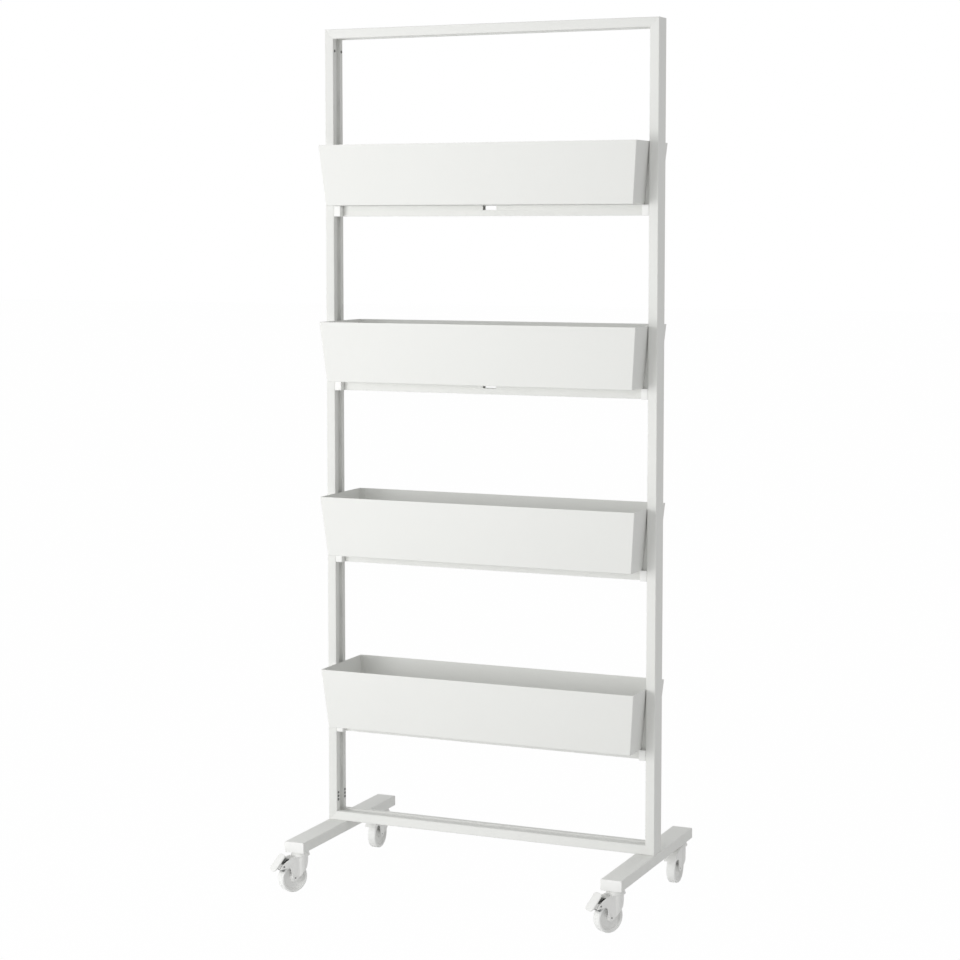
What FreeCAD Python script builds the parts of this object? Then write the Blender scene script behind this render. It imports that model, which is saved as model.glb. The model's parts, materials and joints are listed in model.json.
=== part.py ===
import FreeCAD, Part
from collections import namedtuple
import math
import os
import Sketcher
from types import SimpleNamespace

# Rolling shelving unit: a mitred steel frame on two cross feet with four swivel casters,
# carrying four tapered sheet-steel trays that hook into the slotted uprights.
# Millimetres, +Z up, X across the width, -Y is the front. The origin is on the floor,
# under the middle of the frame.

LEVELS = 4
QUARTER_TURN = 90
HALF_TURN = 180
FULL_TURN = 360
CLOSE = 1e-6

# Driving sizes, one sheet cell each
SIZES = {
    # frame members
    "frame_width": 844.0,
    "overall_height": 2044.0,
    "profile_width": 22.4,
    "profile_depth": 50.0,
    "profile_wall": 1.5,
    "profile_round": 2.0,
    "groove_width": 20.0,
    "groove_depth": 8.0,
    # slots and flange holes of the uprights
    "slot_width": 12.0,
    "slot_length": 50.0,
    "hook_slot_rise": 12.0,
    "clip_slot_drop": 26.0,
    "low_slot_rise": 101.0,
    "top_slot_drop": 180.0,
    "flange_hole_size": 4.4,
    "top_hole_drop": 51.0,
    "low_hole_rise": 50.0,
    "low_hole_pitch": 8.7,
    # corner connectors inside the members
    "connector_leg": 80.0,
    "connector_fit": 0.2,
    # feet
    "foot_width": 50.5,
    "foot_height": 25.3,
    "foot_length": 502.0,
    "foot_wall": 2.0,
    "foot_round": 2.5,
    "foot_overhang": 2.0,
    "cap_plate": 3.0,
    "cap_plug": 12.0,
    "cap_fit": 0.2,
    "spigot_width": 20.0,
    "spigot_depth": 36.0,
    "spigot_fit": 0.2,
    # trays
    "tray_end_gap": 0.8,
    "tray_end_slope": 12.5,
    "tray_depth": 215.0,
    "tray_front_slope": 14.0,
    "tray_height": 142.5,
    "tray_sheet": 1.2,
    "tray_round": 2.0,
    "tab_width": 10.0,
    "lowest_rim_height": 511.0,
    "top_rim_drop": 277.5,
    "tray_seat_gap": 0.3,
    # tray hangers
    "hanger_width": 30.0,
    "hanger_sheet": 2.0,
    "hanger_top_drop": 8.0,
    "hanger_hollow_drop": 60.0,
    "hanger_play": 0.4,
    "hook_sheet": 4.0,
    "hook_neck": 14.0,
    "hook_seat": 0.5,
    "hook_play": 0.5,
    "hook_lip": 3.0,
    "hook_drop": 8.0,
    # support rails and their clips
    "rail_height": 25.0,
    "rail_depth": 17.0,
    "rail_wall": 1.5,
    "notch_width": 34.0,
    "notch_depth": 10.7,
    "clip_width": 17.0,
    "clip_round": 2.0,
    "clip_socket": 10.0,
    "clip_fit": 0.15,
    "tongue_play": 0.3,
    "peg_width": 11.0,
    "peg_height": 14.0,
    "peg_rise": 2.0,
    "peg_reach": 3.0,
    # caster stems
    "caster_height": 97.0,
    "caster_inset": 32.0,
    "caster_turn": -31.0,
    "stem_size": 10.0,
    "stem_length": 19.0,
    "stem_fit": 0.05,
    "head_gap": 1.0,
    "pivot_size": 12.0,
    "pivot_length": 21.0,
    "pivot_play": 0.05,
    "retainer_size": 17.0,
    "retainer_height": 2.0,
    "retainer_play": 0.3,
    # caster wheels
    "wheel_size": 70.0,
    "wheel_width": 22.0,
    "wheel_trail": 22.0,
    "tyre_thickness": 4.5,
    "tyre_shoulder": 3.5,
    "rim_width": 20.0,
    "dish_width": 8.0,
    "dish_flare": 2.3,
    "rim_wall": 2.2,
    "hub_size": 18.0,
    "hub_play": 0.25,
    "axle_size": 8.0,
    "axle_play": 0.06,
    "axle_fit": 0.02,
    "axle_recess": 0.8,
    # caster forks
    "wheel_side_gap": 1.2,
    "cheek_wall": 2.4,
    "wheel_top_gap": 2.5,
    "hood_wall": 11.8,
    "hood_end_rise": 25.0,
    "hood_start": 2.0,
    "arch_rise": 26.0,
    "arch_round": 8.0,
    "leg_trail": 11.0,
    "boss_size": 16.0,
    "nose_reach": 19.0,
    "neck_size": 37.0,
    "neck_seat": 8.0,
    "waist_reach": 9.0,
    "waist_rise": 23.0,
    "tail_round": 3.0,
    "head_size": 45.0,
    "head_top_size": 37.0,
    "head_height": 11.0,
    "head_edge": 2.0,
    # brake pedals of the front casters
    "pedal_pivot_reach": 31.0,
    "pedal_pivot_rise": 31.5,
    "pedal_tilt": 48.5,
    "pedal_up": 23.5,
    "pedal_down": 23.0,
    "pedal_stand": 12.0,
    "pedal_thick": 4.0,
    "pedal_width": 27.0,
    "pedal_round": 8.0,
    "pedal_boss_size": 9.0,
    "pedal_side_gap": 0.5,
    "shoe_reach": 10.0,
    "shoe_drop": 7.0,
    "pedal_pin_size": 4.0,
    "pedal_opening_reach": 14.0,
    "pedal_opening_rise": 8.0,
    # one overrun for all cuts
    "overrun": 1.0,
}

# Where a free slot lies between one level's hook slot and the next level's clip slot
free_slot_share = 0.546
# Where the round underside of an axle boss runs into the leg's front edge
boss_tangent_share = 0.766


class Size:
    """A number together with the sheet expression that drives it."""

    def __init__(self, value, text):
        self.value = value
        self.text = text

    def join(self, sign, other, value):
        return Size(value, f"({self.text} {sign} {as_size(other).text})")

    def __add__(self, other):
        return self.join("+", other, self.value + as_size(other).value)

    def __sub__(self, other):
        return self.join("-", other, self.value - as_size(other).value)

    def __mul__(self, other):
        return self.join("*", other, self.value * as_size(other).value)

    def __truediv__(self, other):
        return self.join("/", other, self.value / as_size(other).value)

    def __neg__(self):
        return Size(-self.value, f"(-1 * {self.text})")


def as_size(number):
    """A plain number as a size of its own."""
    return number if isinstance(number, Size) else Size(number, repr(number))


def root(size):
    """Square root of a size."""
    return Size(math.sqrt(size.value), f"sqrt({size.text})")


doc = FreeCAD.newDocument("rolling_shelving_unit")
sheet = doc.addObject("Spreadsheet::Sheet", "Sizes")
for row, (name, number) in enumerate(SIZES.items(), start=1):
    sheet.set(f"A{row}", name)
    sheet.set(f"B{row}", str(number))
    sheet.setAlias(f"B{row}", name)
doc.recompute()

s = SimpleNamespace(**{name: Size(number, f"Sizes.{name}") for name, number in SIZES.items()})
zero = Size(0.0, "0")
nodes = []

# Sizes and places that follow from the driving ones
half_frame = s.frame_width / 2
half_depth = s.profile_depth / 2
frame_bottom = s.caster_height + s.foot_height
upright_length = s.overall_height - frame_bottom
inner_half = half_frame - s.profile_width
groove_floor = s.groove_depth + s.profile_wall
flange_middle = (s.profile_depth + s.groove_width) / 4
foot_middle = half_frame + s.foot_overhang - s.foot_width / 2
caster_reach = s.foot_length / 2 - s.caster_inset
rim_drop = s.tray_height + s.tray_seat_gap
level_pitch = (s.overall_height - s.top_rim_drop - s.lowest_rim_height) / (LEVELS - 1)
tray_width = (inner_half - s.tray_end_gap) * 2
side_taper = s.tray_end_slope / s.tray_height
front_taper = s.tray_front_slope / s.tray_height
wheel_radius = s.wheel_size / 2
fork_inside = s.wheel_width + s.wheel_side_gap * 2
fork_outside = fork_inside + s.cheek_wall * 2
head_top = s.caster_height - s.head_gap
head_bottom = head_top - s.head_height
hub_y = -s.wheel_trail
hub_z = wheel_radius
pedal_y = hub_y - s.pedal_pivot_reach
pedal_z = hub_z + s.pedal_pivot_rise
connector_start = s.profile_wall + s.connector_fit
connector_thick = s.profile_width - groove_floor - s.profile_wall - s.connector_fit * 2

# A corner of an outline; with a centre, the side that leaves it is an arc about that point
Corner = namedtuple("Corner", "x y centre turn keep", defaults=(None, 1, "xy"))


def bind(thing, name, size):
    """Ties a property to the sheet."""
    thing.setExpression(name, size.text)


def new_body(name):
    return doc.addObject("PartDesign::Body", name)


def origin_feature(body, role):
    return next(item for item in body.Origin.OriginFeatures if item.Role == role)


def sketch_on(body, role, shift=(zero, zero, zero), tilt=None):
    """A sketch on one of the body's own planes, shifted and tilted in the plane's own axes."""
    sketch = body.newObject("Sketcher::SketchObject", "sketch")
    sketch.AttachmentSupport = [(origin_feature(body, role), "")]
    sketch.MapMode = "FlatFace"
    for axis, size in zip("xyz", shift):
        if size is not zero:
            bind(sketch, f"AttachmentOffset.Base.{axis}", size)
    if tilt:
        bind(sketch, "AttachmentOffset.Rotation.Angle", tilt)
    return sketch


def keep_at(sketch, geometry, end, axis, size):
    """Holds one coordinate of a point at a size from the sketch origin."""
    if size is zero:
        straight = -2 if axis == "X" else -1
        sketch.addConstraint(Sketcher.Constraint("PointOnObject", geometry, end, straight))
        return
    index = sketch.addConstraint(Sketcher.Constraint(f"Distance{axis}", -1, 1, geometry, end, size.value))
    bind(sketch, f"Constraints[{index}]", size)


def add_side(sketch, here, there):
    """One side of an outline; gives its index and which of its ends come first and last."""
    start = FreeCAD.Vector(here.x.value, here.y.value, 0)
    end = FreeCAD.Vector(there.x.value, there.y.value, 0)
    if here.centre is None:
        return sketch.addGeometry(Part.LineSegment(start, end)), 1, 2
    middle = FreeCAD.Vector(here.centre[0].value, here.centre[1].value, 0)
    circle = Part.Circle(middle, FreeCAD.Vector(0, 0, 1), (start - middle).Length)
    low, high = (start, end) if here.turn > 0 else (end, start)
    angles = [math.atan2(*(reversed((spot - middle)[:2]))) for spot in (low, high)]
    arc = sketch.addGeometry(Part.ArcOfCircle(circle, *angles))
    return (arc, 1, 2) if here.turn > 0 else (arc, 2, 1)


def outline(sketch, corners):
    """A closed outline of lines and arcs whose corners are held by sizes."""
    corners = [corner if isinstance(corner, Corner) else Corner(*corner) for corner in corners]
    sides = [add_side(sketch, *pair) for pair in zip(corners, corners[1:] + corners[:1])]
    for side, following in zip(sides, sides[1:] + sides[:1]):
        sketch.addConstraint(Sketcher.Constraint("Coincident", side[0], side[2], following[0], following[1]))
    for corner, (side, first, _) in zip(corners, sides):
        if "x" in corner.keep:
            keep_at(sketch, side, first, "X", corner.x)
        if "y" in corner.keep:
            keep_at(sketch, side, first, "Y", corner.y)
        if corner.centre:
            keep_at(sketch, side, 3, "X", corner.centre[0])
            keep_at(sketch, side, 3, "Y", corner.centre[1])


def box_outline(sketch, low_x, low_y, high_x, high_y):
    outline(sketch, [(low_x, low_y), (high_x, low_y), (high_x, high_y), (low_x, high_y)])


def circle(sketch, x, y, size):
    """A circle given by its middle and its diameter."""
    middle = FreeCAD.Vector(x.value, y.value, 0)
    ring = sketch.addGeometry(Part.Circle(middle, FreeCAD.Vector(0, 0, 1), size.value / 2))
    keep_at(sketch, ring, 3, "X", x)
    keep_at(sketch, ring, 3, "Y", y)
    index = sketch.addConstraint(Sketcher.Constraint("Diameter", ring, size.value))
    bind(sketch, f"Constraints[{index}]", size)


def slot_outline(sketch, y):
    """An upright's slot with round ends, in the middle of the groove."""
    straight = (s.slot_length - s.slot_width) / 2
    half = s.slot_width / 2
    outline(sketch, [
        Corner(half, y + straight, (zero, y + straight)),
        Corner(-half, y + straight, keep="y"),
        Corner(-half, y - straight, (zero, y - straight)),
        Corner(half, y - straight, keep="y"),
    ])


def pad(body, sketch, length, symmetric=False, backwards=False):
    feature = body.newObject("PartDesign::Pad", "pad")
    return extrude(feature, sketch, length, symmetric, backwards)


def pocket(body, sketch, length, symmetric=False, backwards=False):
    """A cut that has to take something away."""
    before = body.Shape.Volume
    feature = body.newObject("PartDesign::Pocket", "pocket")
    extrude(feature, sketch, length, symmetric, backwards)
    if not body.Shape.Volume < before:
        raise ValueError(f"a cut in {body.Name} takes nothing away")
    return feature


def extrude(feature, sketch, length, symmetric, backwards):
    feature.Profile = sketch
    feature.SideType = "Symmetric" if symmetric else "One side"
    feature.Reversed = backwards
    bind(feature, "Length", length)
    doc.recompute()
    return feature


def revolve(body, sketch, axis):
    feature = body.newObject("PartDesign::Revolution", "revolution")
    feature.Profile = sketch
    feature.ReferenceAxis = (sketch, [axis])
    feature.Angle = FULL_TURN
    doc.recompute()
    return feature


def loft(body, kind, sections):
    feature = body.newObject(f"PartDesign::{kind}", "loft")
    feature.Profile = sections[0]
    feature.Sections = sections[1:]
    feature.Ruled = True
    doc.recompute()
    return feature


def fillet(body, chosen, size):
    """Rounds the edges of the body's last feature that the given test picks."""
    base = body.Tip
    edges = [f"Edge{i}" for i, edge in enumerate(base.Shape.Edges, start=1) if chosen(edge)]
    feature = body.newObject("PartDesign::Fillet", "fillet")
    feature.Base = (base, edges)
    bind(feature, "Radius", size)
    doc.recompute()
    return feature


def runs_along(edge, axis):
    """Whether a straight edge runs along an axis, given as 0, 1 or 2."""
    if edge.Curve.TypeId != "Part::GeomLine":
        return False
    return abs(abs(edge.Curve.Direction[axis]) - 1) < CLOSE


def place(thing, x, y, z, axis=(0, 0, 1), angle=0):
    """Places an object; a sheet size as angle stays tied to the sheet."""
    degrees = as_size(angle)
    thing.Placement = FreeCAD.Placement(
        FreeCAD.Vector(x.value, y.value, z.value),
        FreeCAD.Rotation(FreeCAD.Vector(*axis), degrees.value))
    for name, size in zip("xyz", (x, y, z)):
        bind(thing, f"Placement.Base.{name}", size)
    if isinstance(angle, Size):
        bind(thing, "Placement.Rotation.Angle", angle)


def node(thing, label):
    """Takes an object as a finished sub-part under its own name."""
    thing.Label = label
    nodes.append(thing)
    return thing


def group(label, original, places):
    """Copies of one piece at several places, as one node of separate solids."""
    copies = []
    for spot in places:
        copy = doc.addObject("App::Link", "copy")
        copy.LinkedObject = original
        place(copy, *spot)
        copies.append(copy)
    bundle = doc.addObject("Part::Compound", label)
    bundle.Links = copies
    return node(bundle, label)


# Frame members

def member(name, length):
    """The grooved profile, mitred at both ends. Local X runs from the outer to the inner face."""
    wide = s.profile_width
    wall = s.profile_wall
    half_groove = s.groove_width / 2
    floor = wide - s.groove_depth
    body = new_body(name)
    section = sketch_on(body, "XY_Plane")
    outline(section, [
        (zero, -half_depth), (wide, -half_depth), (wide, -half_groove), (floor, -half_groove),
        (floor, half_groove), (wide, half_groove), (wide, half_depth), (zero, half_depth)])
    outline(section, [
        (wall, wall - half_depth), (wide - wall, wall - half_depth), (wide - wall, -half_groove - wall),
        (floor - wall, -half_groove - wall), (floor - wall, half_groove + wall),
        (wide - wall, half_groove + wall), (wide - wall, half_depth - wall), (wall, half_depth - wall)])
    pad(body, section, length)
    edge_y = half_depth.value
    fillet(body, lambda edge: runs_along(edge, 2) and abs(abs(edge.Vertexes[0].Y) - edge_y) < CLOSE,
           s.profile_round)
    over = s.overrun
    mitres = sketch_on(body, "XZ_Plane")
    outline(mitres, [(-over, -over), (wide + over, -over), (wide + over, wide + over)])
    outline(mitres, [
        (-over, length + over), (wide + over, length - wide - over), (wide + over, length + over)])
    pocket(body, mitres, s.profile_depth + over, symmetric=True)
    return body


flange_holes = [s.low_hole_rise + s.low_hole_pitch * step for step in range(3)]
flange_holes.append(upright_length - s.top_hole_drop)


def repeat_upwards(body, feature, count):
    """Repeats a feature once per level."""
    rows = body.newObject("PartDesign::LinearPattern", "levels")
    rows.Originals = [feature]
    rows.Direction = (origin_feature(body, "Z_Axis"), [""])
    rows.Occurrences = count
    bind(rows, "Length", level_pitch * (count - 1))
    body.Tip = rows
    doc.recompute()


def upright(name):
    """A member with hook, clip and free slots in its groove and small holes in its flanges."""
    body = member(name, upright_length)
    inner_face = (zero, zero, s.profile_width)
    rim = s.lowest_rim_height - frame_bottom
    hook_slot = rim + s.hook_slot_rise - s.slot_length / 2
    clip_slot = rim - rim_drop - s.rail_height - s.clip_slot_drop + s.slot_length / 2
    free_slot = hook_slot + (clip_slot + level_pitch - hook_slot) * free_slot_share
    for slots, count in (((hook_slot, clip_slot), LEVELS), ((free_slot,), LEVELS - 1)):
        sketch = sketch_on(body, "YZ_Plane", inner_face)
        for height in slots:
            slot_outline(sketch, height)
        repeat_upwards(body, pocket(body, sketch, groove_floor + s.overrun), count)
    end_slots = sketch_on(body, "YZ_Plane", inner_face)
    for height in (s.low_slot_rise, upright_length - s.top_slot_drop):
        slot_outline(end_slots, height)
    pocket(body, end_slots, groove_floor + s.overrun)
    holes = sketch_on(body, "YZ_Plane", inner_face)
    for height in flange_holes:
        for side in (flange_middle, -flange_middle):
            circle(holes, side, height, s.flange_hole_size)
    pocket(body, holes, s.profile_wall + s.overrun)
    return body


def connector(name, footed):
    """An L-shaped insert for a frame corner; at a foot it has a spigot that goes down into the tube."""
    near = connector_start
    far = connector_start + connector_thick
    body = new_body(name)
    shape = sketch_on(body, "XZ_Plane")
    outline(shape, [(near, near), (s.connector_leg, near), (s.connector_leg, far), (far, far),
                    (far, s.connector_leg), (near, s.connector_leg)])
    pad(body, shape, s.profile_depth - connector_start * 2, symmetric=True)
    if footed:
        spigot = sketch_on(body, "XY_Plane", (zero, zero, near))
        spigot_outline(spigot, half_frame - foot_middle, zero, zero)
        pad(body, spigot, near + s.foot_height - s.foot_wall - s.spigot_fit, backwards=True)
    return body


def spigot_outline(sketch, x, y, room):
    """The spigot's section about a point, with room around it for a hole."""
    wide = s.spigot_width / 2 + room
    deep = s.spigot_depth / 2 + room
    box_outline(sketch, x - wide, y - deep, x + wide, y + deep)


def build_frame():
    left = node(upright("left_upright_body"), "left_upright")
    place(left, -half_frame, zero, frame_bottom)
    right = node(upright("right_upright_body"), "right_upright")
    place(right, half_frame, zero, frame_bottom, angle=HALF_TURN)
    top = node(member("top_rail_body", s.frame_width), "top_rail")
    place(top, -half_frame, zero, s.overall_height, (0, 1, 0), QUARTER_TURN)
    bottom = member("bottom_rail_body", s.frame_width)
    spigot_holes = sketch_on(bottom, "YZ_Plane")
    for end in (half_frame - foot_middle, half_frame + foot_middle):
        wide = s.spigot_width / 2 + s.spigot_fit
        deep = s.spigot_depth / 2 + s.spigot_fit
        box_outline(spigot_holes, -deep, end - wide, deep, end + wide)
    pocket(bottom, spigot_holes, s.profile_wall + s.overrun, backwards=True)
    node(bottom, "bottom_rail")
    place(bottom, half_frame, zero, frame_bottom, (0, 1, 0), -QUARTER_TURN)
    group("top_corner_connectors", connector("top_connector", False), [
        (-half_frame, zero, s.overall_height, (1, 0, 0), HALF_TURN),
        (half_frame, zero, s.overall_height, (0, 1, 0), HALF_TURN)])
    group("bottom_corner_connectors", connector("bottom_connector", True), [
        (-half_frame, zero, frame_bottom), (half_frame, zero, frame_bottom, (0, 0, 1), HALF_TURN)])


# Feet

def foot(name):
    """A rectangular tube along Y with a hole for the frame's spigot and holes for the caster stems."""
    wide = s.foot_width / 2
    wall = s.foot_wall
    body = new_body(name)
    section = sketch_on(body, "XZ_Plane")
    box_outline(section, -wide, zero, wide, s.foot_height)
    box_outline(section, wall - wide, wall, wide - wall, s.foot_height - wall)
    pad(body, section, s.foot_length - s.cap_plate * 2, symmetric=True)
    edge_x = wide.value
    fillet(body, lambda edge: runs_along(edge, 1) and abs(abs(edge.Vertexes[0].X) - edge_x) < CLOSE,
           s.foot_round)
    below = sketch_on(body, "XY_Plane")
    for end in (caster_reach, -caster_reach):
        circle(below, zero, end, s.stem_size + s.stem_fit * 2)
    pocket(body, below, wall + s.overrun, backwards=True)
    above = sketch_on(body, "XY_Plane", (zero, zero, s.foot_height))
    spigot_outline(above, zero, zero, s.spigot_fit)
    pocket(body, above, wall + s.overrun)
    return body


def end_cap():
    """A plate that closes a foot's end, with a plug inside the tube. Local -Y is outwards."""
    wide = s.foot_width / 2
    inset = s.foot_wall + s.cap_fit
    body = new_body("end_cap")
    plate = sketch_on(body, "XZ_Plane")
    box_outline(plate, -wide, zero, wide, s.foot_height)
    pad(body, plate, s.cap_plate)
    fillet(body, lambda edge: runs_along(edge, 1), s.foot_round)
    plug = sketch_on(body, "XZ_Plane")
    box_outline(plug, inset - wide, inset, wide - inset, s.foot_height - inset)
    pad(body, plug, s.cap_plug, backwards=True)
    return body


def build_feet():
    for side, name in ((-1, "left"), (1, "right")):
        tube = node(foot(f"{name}_foot_body"), f"{name}_foot")
        place(tube, foot_middle * side, zero, s.caster_height)
    sides = [foot_middle * side for side in (-1, 1)]
    cap_seat = s.foot_length / 2 - s.cap_plate
    group("foot_end_caps", end_cap(), [
        (x, cap_seat * end, s.caster_height, (0, 0, 1), angle)
        for x in sides for end, angle in ((-1, 0), (1, HALF_TURN))])


# Trays with their hangers, rails and clips

def tray_section(body, height, inset, tabs):
    """The tray's outline at a height over its rim, drawn in by an inset, with or without corner tabs."""
    sketch = sketch_on(body, "XY_Plane", (zero, zero, height))
    long = tray_width / 2 + side_taper * height - inset
    deep = s.tray_depth / 2 + front_taper * height - inset
    if not tabs:
        box_outline(sketch, -long, -deep, long, deep)
        return sketch
    step = long - s.tab_width
    thin = deep - s.tray_sheet
    outline(sketch, [
        (step, -deep), (step, -thin), (long, -thin), (long, thin), (step, thin), (step, deep),
        (-step, deep), (-step, thin), (-long, thin), (-long, -thin), (-step, -thin), (-step, -deep)])
    return sketch


def tray(name):
    """A folded sheet box that tapers downwards; the end walls' tabs are welded inside the long walls."""
    over = s.overrun
    low = -s.tray_height - over
    body = new_body(name)
    pad(body, tray_section(body, zero, zero, False), s.tray_height, backwards=True)
    slopes = (("XZ_Plane", tray_width, side_taper, s.tray_depth),
              ("YZ_Plane", s.tray_depth, front_taper, tray_width))
    for plane, across, taper, along in slopes:
        half = across / 2
        wedges = sketch_on(body, plane)
        for side in (1, -1):
            outline(wedges, [(half * side, zero), ((half + taper * low) * side, low),
                             ((half + over) * side, low), ((half + over) * side, zero)])
        pocket(body, wedges, along + over, symmetric=True)
    rim = -over.value
    fillet(body, lambda edge: max(corner.Z for corner in edge.Vertexes) < rim, s.tray_round)
    heights = (s.tray_sheet - s.tray_height, over)
    loft(body, "SubtractiveLoft", [tray_section(body, height, s.tray_sheet, True) for height in heights])
    return body


def hanger(name):
    """A hollow wedge between a tray's end and the upright, with a hook for the upright's slot."""
    play = s.hanger_play
    sheet_metal = s.hanger_sheet
    over = s.overrun

    def wall_at(drop):
        return s.tray_end_gap + side_taper * drop

    body = new_body(name)
    wedge = sketch_on(body, "XZ_Plane")
    outline(wedge, [
        (play, -s.hanger_top_drop), (play, -s.tray_height),
        (wall_at(s.tray_height), -s.tray_height), (wall_at(s.hanger_top_drop), -s.hanger_top_drop)])
    pad(body, wedge, s.hanger_width, symmetric=True)
    hollow = sketch_on(body, "XZ_Plane")
    foot_drop = s.tray_height + over
    outline(hollow, [(play + sheet_metal, -foot_drop), (wall_at(foot_drop) - sheet_metal, -foot_drop),
                     (wall_at(s.hanger_hollow_drop) - sheet_metal, -s.hanger_hollow_drop),
                     (play + sheet_metal, -s.hanger_hollow_drop)])
    pocket(body, hollow, s.hanger_width - sheet_metal * 2, symmetric=True)
    seat = s.hook_slot_rise - s.slot_length + s.hook_seat
    throat = -groove_floor - s.hook_play
    hook = sketch_on(body, "XZ_Plane")
    outline(hook, [
        (play + sheet_metal / 2, seat), (play + sheet_metal / 2, seat + s.hook_neck),
        (throat - s.hook_lip, seat + s.hook_neck), (throat - s.hook_lip, seat - s.hook_drop),
        (throat, seat - s.hook_drop), (throat, seat)])
    pad(body, hook, s.hook_sheet, symmetric=True)
    return body


def support_rail(name):
    """A tube across the frame under a tray, notched in the middle of its top."""
    half = s.rail_depth / 2
    wall = s.rail_wall
    body = new_body(name)
    section = sketch_on(body, "YZ_Plane")
    box_outline(section, -half, -s.rail_height, half, zero)
    box_outline(section, wall - half, wall - s.rail_height, half - wall, -wall)
    pad(body, section, (inner_half - s.clip_width + s.clip_socket) * 2, symmetric=True)
    notch = sketch_on(body, "XZ_Plane")
    box_outline(notch, -s.notch_width / 2, -s.notch_depth, s.notch_width / 2, s.overrun)
    pocket(body, notch, s.rail_depth + s.overrun, symmetric=True)
    return body


def rail_clip(name):
    """A moulded end piece that straddles the rail's end, with a tongue and a peg in the upright's groove."""
    body = new_body(name)
    block = sketch_on(body, "XZ_Plane")
    box_outline(block, zero, -s.rail_height, s.clip_width, zero)
    pad(body, block, s.profile_depth, symmetric=True)
    far = s.clip_width.value
    fillet(body, lambda edge: runs_along(edge, 2) and abs(edge.Vertexes[0].X - far) < CLOSE, s.clip_round)
    tongue = sketch_on(body, "XZ_Plane")
    box_outline(tongue, s.tongue_play - s.groove_depth, -s.rail_height, zero, zero)
    pad(body, tongue, s.groove_width - s.tongue_play * 2, symmetric=True)
    peg = sketch_on(body, "XZ_Plane")
    tongue_end = s.tongue_play - s.groove_depth
    peg_bottom = s.peg_rise - s.rail_height
    box_outline(peg, -groove_floor - s.peg_reach, peg_bottom, tongue_end, peg_bottom + s.peg_height)
    pad(body, peg, s.peg_width, symmetric=True)
    socket = sketch_on(body, "XZ_Plane")
    over = s.overrun
    box_outline(socket, s.clip_width - s.clip_socket, -s.rail_height - over, s.clip_width + over, over)
    pocket(body, socket, s.rail_depth + s.clip_fit * 2, symmetric=True)
    return body


def build_levels():
    """The four tray levels, counted from the top."""
    for level in range(1, LEVELS + 1):
        rim = s.lowest_rim_height + level_pitch * (LEVELS - level)
        box = node(tray(f"tray_{level}_body"), f"tray_{level}")
        place(box, zero, zero, rim)
        ends = ((-inner_half, 0), (inner_half, HALF_TURN))
        group(f"tray_hangers_{level}", hanger(f"hanger_{level}"), [
            (x, zero, rim, (0, 0, 1), angle) for x, angle in ends])
        rail = node(support_rail(f"support_rail_{level}_body"), f"support_rail_{level}")
        place(rail, zero, zero, rim - rim_drop)
        group(f"rail_clips_{level}", rail_clip(f"clip_{level}"), [
            (x, zero, rim - rim_drop, (0, 0, 1), angle) for x, angle in ends])


# Casters, each in a frame with its origin on the floor under the swivel axis and its wheel trailing to -Y

def stem():
    """The swivel pin: threaded end in the foot, shoulder, pivot and retaining flange."""
    low = head_top - s.pivot_length
    body = new_body("stem")
    half = sketch_on(body, "XZ_Plane")
    outline(half, [
        (zero, low - s.retainer_height), (s.retainer_size / 2, low - s.retainer_height),
        (s.retainer_size / 2, low), (s.pivot_size / 2, low), (s.pivot_size / 2, s.caster_height),
        (s.stem_size / 2, s.caster_height), (s.stem_size / 2, s.caster_height + s.stem_length),
        (zero, s.caster_height + s.stem_length)])
    revolve(body, half, "V_Axis")
    return body


def axle_sketch(body):
    """A sketch whose horizontal axis is the wheel's axle."""
    return sketch_on(body, "XZ_Plane", (zero, hub_z, s.wheel_trail))


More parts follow.
